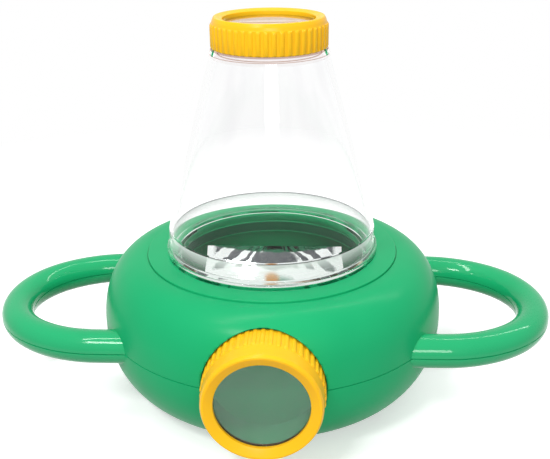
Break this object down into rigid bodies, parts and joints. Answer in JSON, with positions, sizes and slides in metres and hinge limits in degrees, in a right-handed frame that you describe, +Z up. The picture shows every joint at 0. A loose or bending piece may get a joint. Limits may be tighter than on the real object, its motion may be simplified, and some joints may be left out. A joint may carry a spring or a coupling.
{
  "type": "bug catcher jar",
  "caption": "Two-way viewer for small creatures: a clear cone jar with a magnifying screw cap on a green two-handled base with a mirror and a magnifying eyepiece.",
  "frame": {"origin": "on the jar's axis, in the plane that the flat underside rests on", "axes": "+Z up along the jar's axis, +X along the two handles, -Y out through the eyepiece"},
  "size_m": [0.2736, 0.1773, 0.1801],
  "materials": {
    "shell": "satin green moulded plastic",
    "ring": "satin yellow moulded plastic",
    "jar": "clear moulded plastic",
    "lens": "clear polished lens",
    "mirror": "silvered flat mirror",
    "pad": "white foam tape",
    "retainer": "black plastic",
    "screw": "zinc plated steel"
  },
  "bodies": {
    "base": {"upper_shell": "shell", "lower_shell": "shell", "shell_screws": "screw", "mirror": "mirror", "mirror_pads": "pad", "eyepiece_tube": "shell"},
    "jar": {"jar_cone": "jar", "jar_floor": "jar"},
    "cap_core": {"cap_lens": "lens", "cap_lens_retainer": "retainer"},
    "cap": {"cap_ring": "ring"},
    "eyepiece_core": {"eyepiece_lens": "lens", "eyepiece_lens_retainer": "retainer"},
    "eyepiece": {"eyepiece_ring": "ring"}
  },
  "joints": [
    {"name": "jar_lift", "type": "slide", "parent": "base", "child": "jar", "axis": [0, 0, 1], "range_m": [0, 0.04]},
    {"name": "cap_rise", "type": "slide", "parent": "jar", "child": "cap_core", "axis": [0, 0, 1], "range_m": [0, 0.012]},
    {"name": "cap_turn", "type": "hinge", "parent": "cap_core", "child": "cap", "pos_m": [0, 0, 0.17], "axis": [0, 0, 1], "range_deg": [0, 360]},
    {"name": "eyepiece_draw", "type": "slide", "parent": "base", "child": "eyepiece_core", "axis": [0, -1, 0], "range_m": [0, 0.012]},
    {"name": "eyepiece_turn", "type": "hinge", "parent": "eyepiece_core", "child": "eyepiece", "pos_m": [0, -0.083, 0.0382], "axis": [0, -1, 0], "range_deg": [0, 360]}
  ],
  "couplings": [
    {"joint": "cap_rise", "follows": "cap_turn", "m_per_rad": 0.0019098},
    {"joint": "eyepiece_draw", "follows": "eyepiece_turn", "m_per_rad": 0.0019098}
  ]
}
